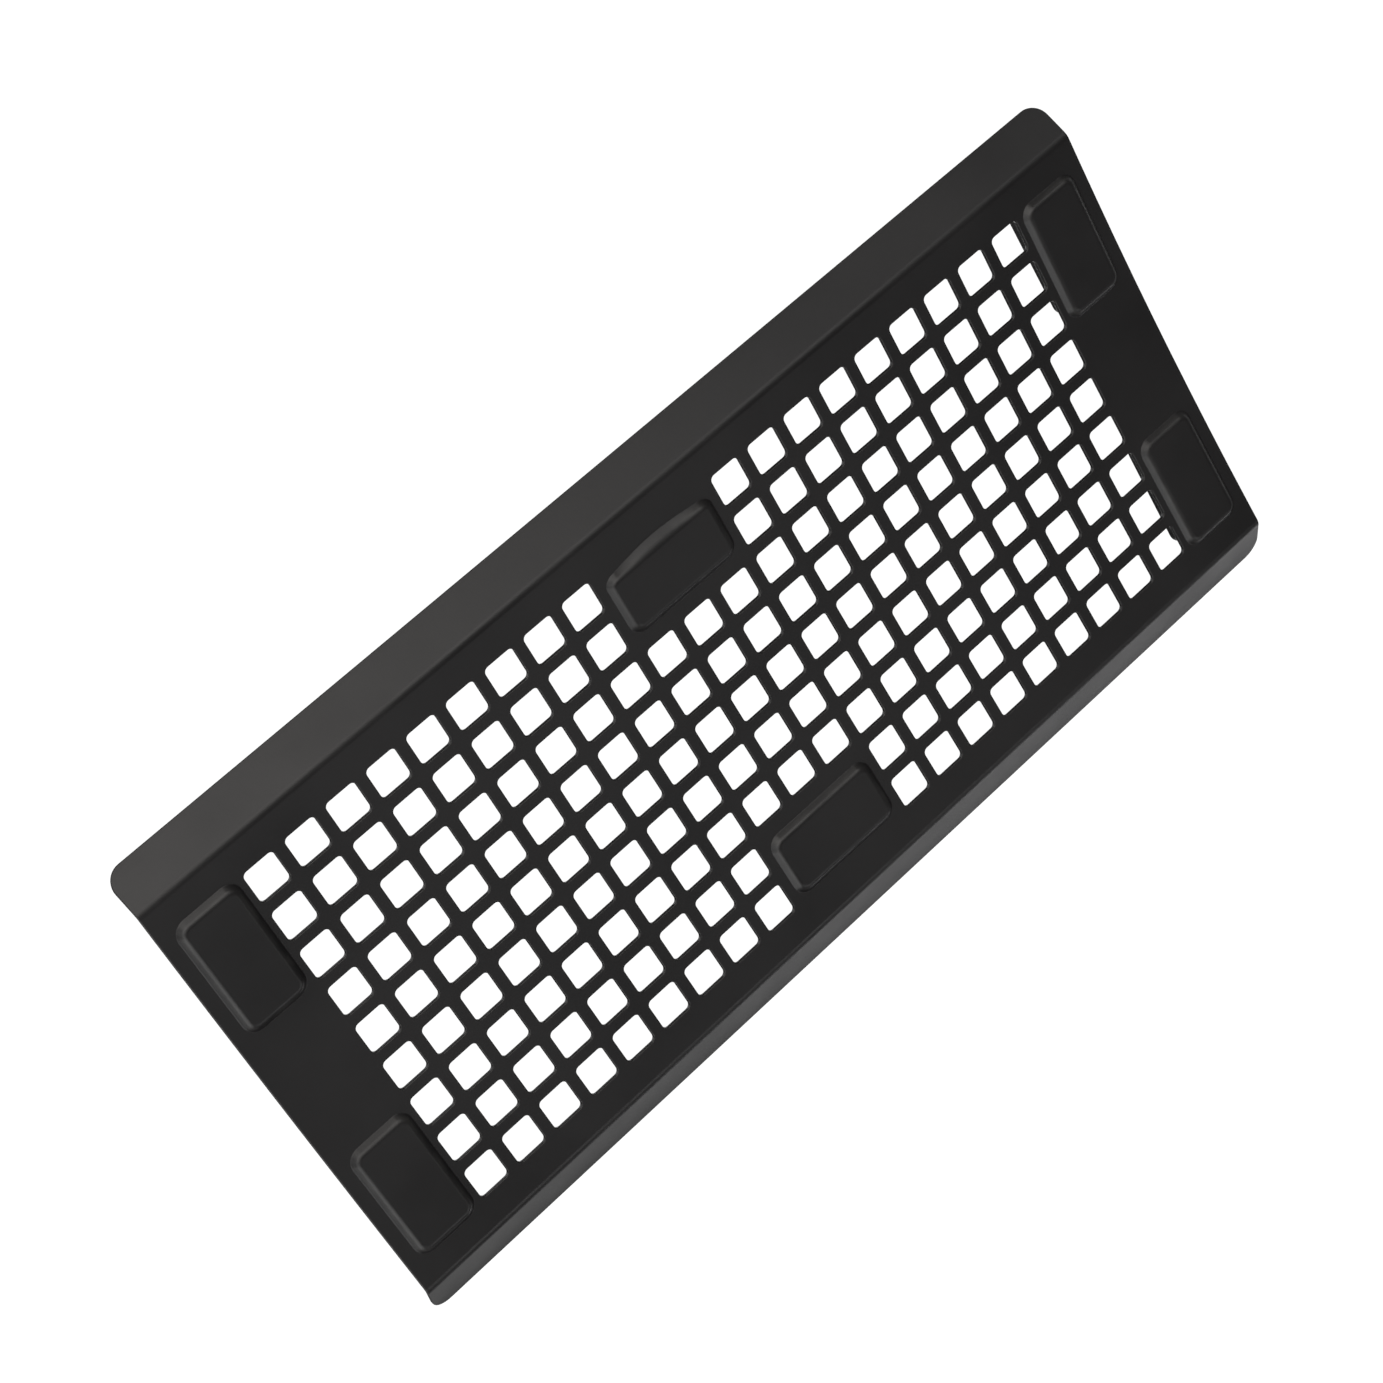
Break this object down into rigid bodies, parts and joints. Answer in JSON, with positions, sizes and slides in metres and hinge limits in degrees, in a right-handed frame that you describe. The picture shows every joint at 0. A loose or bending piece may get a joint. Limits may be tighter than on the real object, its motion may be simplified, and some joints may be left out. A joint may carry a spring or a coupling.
{
  "type": "queen excluder",
  "caption": "Thin black perforated plate with sloped long edges and block magnets in raised housings, which lets worker bees through and holds the queen back.",
  "frame": {"origin": "under the centre of the panel, on the plane that the rims, housings and magnets rest on", "axes": "+X along the panel's length, +Y across it, +Z out of the front face, away from the hive wall"},
  "size_m": [0.142, 0.068, 0.0041],
  "materials": {
    "panel_plastic": "satin black moulded plastic with a fine even grain",
    "magnet_nickel": "bright nickel plating, lightly scuffed on the contact face",
    "foam_tape": "grey acrylic foam tape with a closed skin"
  },
  "bodies": {
    "root": {"excluder_panel": "panel_plastic", "magnet_left_rear": "magnet_nickel", "magnet_left_front": "magnet_nickel", "magnet_middle_rear": "magnet_nickel", "magnet_middle_front": "magnet_nickel", "magnet_right_rear": "magnet_nickel", "magnet_right_front": "magnet_nickel", "tape_pad_left_rear": "foam_tape", "tape_pad_left_front": "foam_tape", "tape_pad_middle_rear": "foam_tape", "tape_pad_middle_front": "foam_tape", "tape_pad_right_rear": "foam_tape", "tape_pad_right_front": "foam_tape"}
  },
  "joints": []
}
